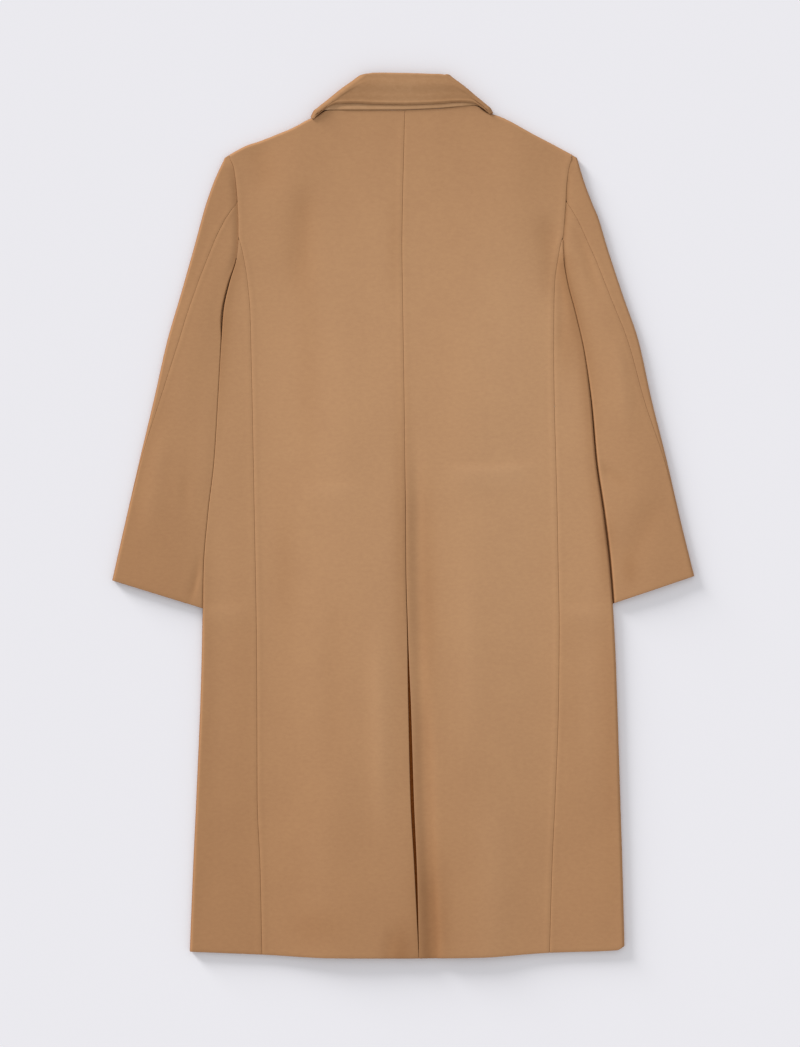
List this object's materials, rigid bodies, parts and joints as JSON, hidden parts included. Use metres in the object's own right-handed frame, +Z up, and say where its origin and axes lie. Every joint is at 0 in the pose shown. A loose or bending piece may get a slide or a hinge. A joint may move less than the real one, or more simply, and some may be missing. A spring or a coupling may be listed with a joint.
{
  "type": "long coat",
  "caption": "Long wool coat with turned-down collar, two-piece sleeves, side-back seams and a deep centre-back vent, laid flat with its back up.",
  "frame": {"origin": "on the surface the coat lies on, under the middle of its bounding box", "axes": "+X to the wearer's right, +Y from the hem to the collar, +Z up from the surface, out of the coat's back"},
  "size_m": [0.814, 1.2368, 0.0136],
  "materials": {
    "coating": "brushed camel wool coating, matte, with a fine short nap",
    "collar_coating": "brushed camel wool coating, matte, a shade deeper",
    "underlap_coating": "brushed camel wool coating, matte, in shade behind the vent"
  },
  "bodies": {
    "root": {"back_left": "coating", "back_right": "coating", "side_left": "coating", "side_right": "coating", "front_left": "coating", "front_right": "coating", "sleeve_top_left": "coating", "sleeve_top_right": "coating", "sleeve_under_left": "coating", "sleeve_under_right": "coating", "collar_leaf": "collar_coating", "collar_stand": "collar_coating", "vent_underlap": "underlap_coating"}
  },
  "joints": []
}
